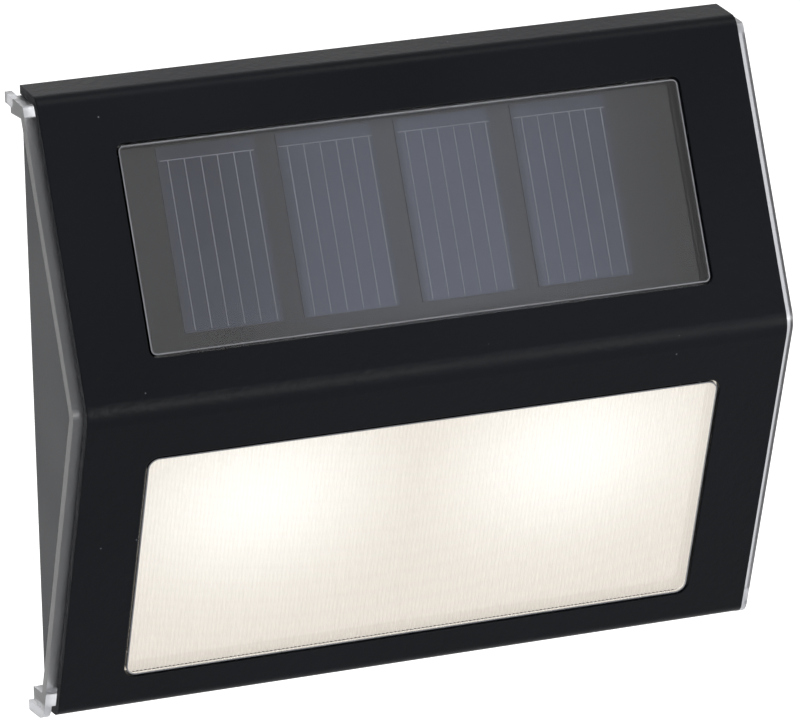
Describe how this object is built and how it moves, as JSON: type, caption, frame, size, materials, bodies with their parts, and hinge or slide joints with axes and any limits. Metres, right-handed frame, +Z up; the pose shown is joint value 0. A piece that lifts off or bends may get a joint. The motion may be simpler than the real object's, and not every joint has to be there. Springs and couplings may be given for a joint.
{
  "type": "solar fence light",
  "caption": "Small wall-mounted solar fence light: folded black cover with a solar window above and a lit lens below, on a clear shell and a grey rear housing.",
  "frame": {"origin": "middle of the back of the housing, on the wall plane", "axes": "+X to the right, +Y into the wall, +Z up; the front faces -Y"},
  "size_m": [0.11, 0.0239, 0.091],
  "materials": {
    "black_coated_steel": "fine-textured powder coat",
    "clear_plastic": "clear moulded polycarbonate",
    "grey_abs": "moulded, light grain",
    "black_rubber": "matt",
    "zinc_steel": "zinc plated",
    "black_foam": "matt",
    "panel_backing": "resin coated board",
    "silicon_cells": "blue-grey silicon under resin",
    "lit_diffuser": "ribbed milky plastic, lit from behind",
    "white_plastic": "moulded white",
    "white_board": "white solder mask",
    "lamp_resin": "phosphor resin",
    "green_board": "green solder mask",
    "black_resin": "moulded resin",
    "ferrite": "sintered",
    "tan_ceramic": "fired",
    "switch_metal": "stamped shell",
    "black_plastic": "moulded",
    "battery_wrap": "plain shrink sleeve",
    "nickel_plate": "nickel-plated spring steel",
    "red_wire": "soft insulation",
    "black_wire": "soft insulation"
  },
  "bodies": {
    "root": {"front_cover": "black_coated_steel", "clear_front_shell": "clear_plastic", "rear_housing": "grey_abs", "housing_gasket": "black_rubber", "housing_screws": "zinc_steel", "solar_panel_frame": "black_foam", "solar_panel_board": "panel_backing", "solar_cells": "silicon_cells", "light_diffuser": "lit_diffuser", "light_tray": "white_plastic", "led_board": "white_board", "leds": "lamp_resin", "circuit_board": "green_board", "circuit_board_screws": "zinc_steel", "driver_chip": "black_resin", "inductor": "ferrite", "capacitor": "tan_ceramic", "resistors": "black_resin", "power_switch_body": "switch_metal", "battery_cell": "battery_wrap", "battery_contact_plate": "nickel_plate", "battery_contact_spring": "nickel_plate", "solar_lead_red": "red_wire", "solar_lead_black": "black_wire", "battery_lead_red": "red_wire", "battery_lead_black": "black_wire", "led_lead_red": "red_wire", "led_lead_black": "black_wire"},
    "switch_slider": {"power_switch_slider": "black_plastic"},
    "battery_lid": {"battery_door": "grey_abs", "battery_door_seal": "black_rubber", "battery_door_screws": "zinc_steel"}
  },
  "joints": [
    {"name": "switch_slide", "type": "slide", "parent": "root", "child": "switch_slider", "axis": [-1, 0, 0], "range_m": [0, 0.0022]},
    {"name": "battery_door_lift", "type": "slide", "parent": "root", "child": "battery_lid", "axis": [0, 1, 0], "range_m": [0, 0.02]}
  ]
}
